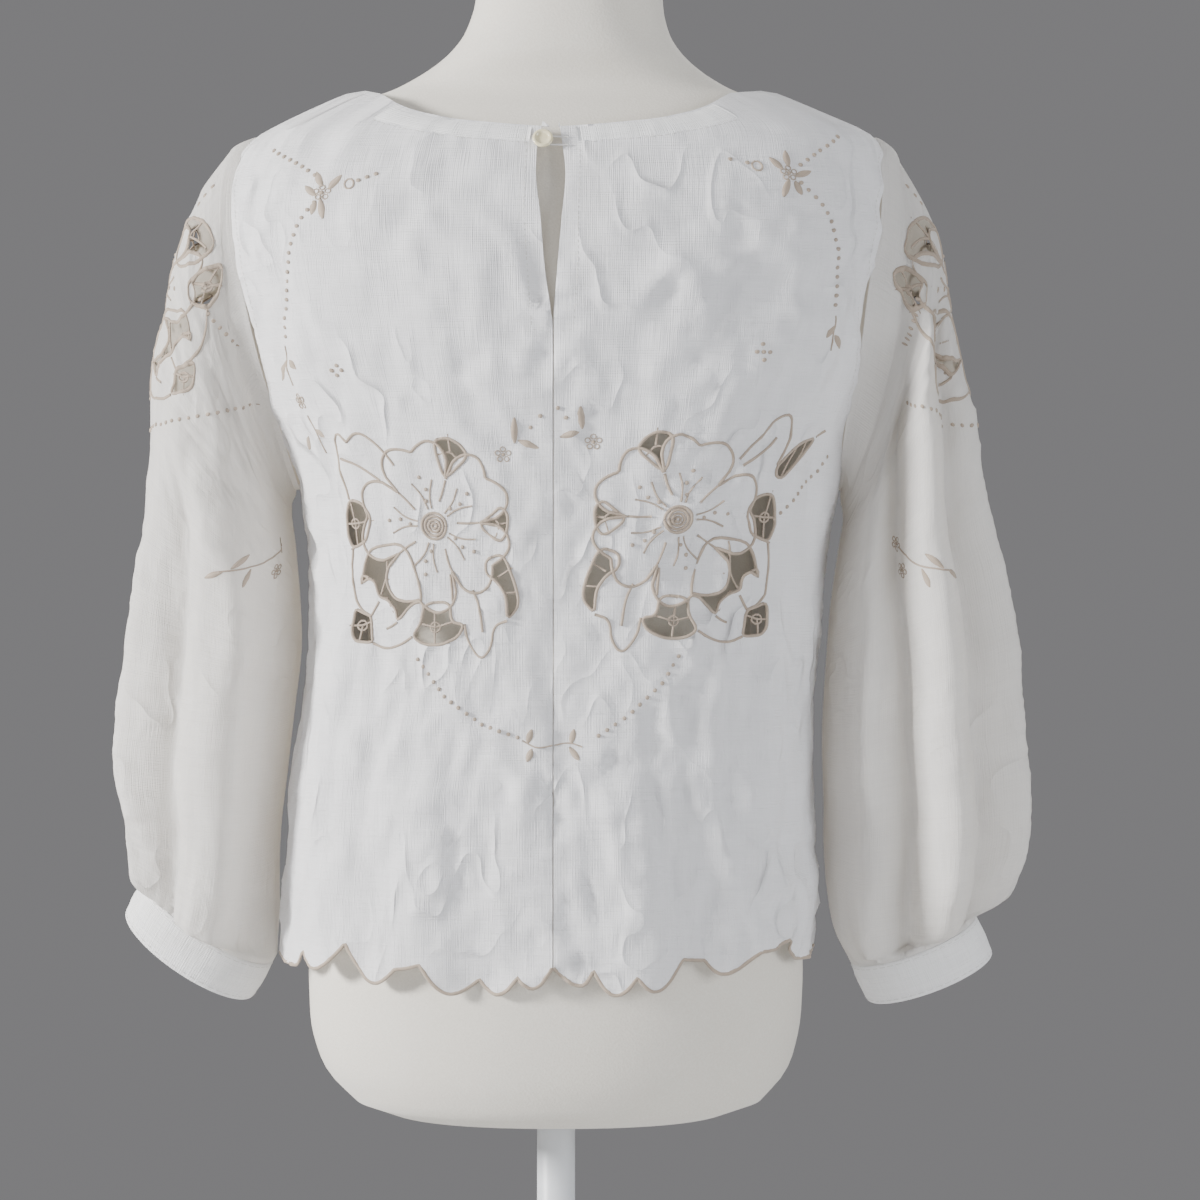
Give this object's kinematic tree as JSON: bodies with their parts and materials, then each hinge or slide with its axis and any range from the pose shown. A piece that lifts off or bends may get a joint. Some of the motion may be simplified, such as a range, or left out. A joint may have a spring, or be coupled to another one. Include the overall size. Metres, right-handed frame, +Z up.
{
  "type": "puff sleeve blouse on a limbless dress form",
  "caption": "Round-necked linen blouse with full sleeves, cutwork gaps, back slit and scalloped hem, worn on a limbless dress form with a round stand.",
  "frame": {"origin": "middle of the underside of the stand's round base", "axes": "+Z up the pole, -Y out of the wearer's front, +X to the wearer's left"},
  "size_m": [0.585, 0.3, 1.2623],
  "materials": {
    "linen": "white crumpled plain-weave linen",
    "button": "pearly",
    "thread": "twisted thread",
    "jersey": "cream knitted cover over a hard form",
    "stand": "light grey paint"
  },
  "bodies": {
    "root": {"back_left": "linen", "back_right": "linen", "front": "linen", "sleeve_left_outer": "linen", "sleeve_left_inner": "linen", "sleeve_right_outer": "linen", "sleeve_right_inner": "linen", "cuff_left": "linen", "cuff_right": "linen", "button": "button", "button_loop": "thread", "form_torso": "jersey", "form_neck_cap": "jersey", "stand_pole": "stand", "stand_base": "stand"}
  },
  "joints": []
}
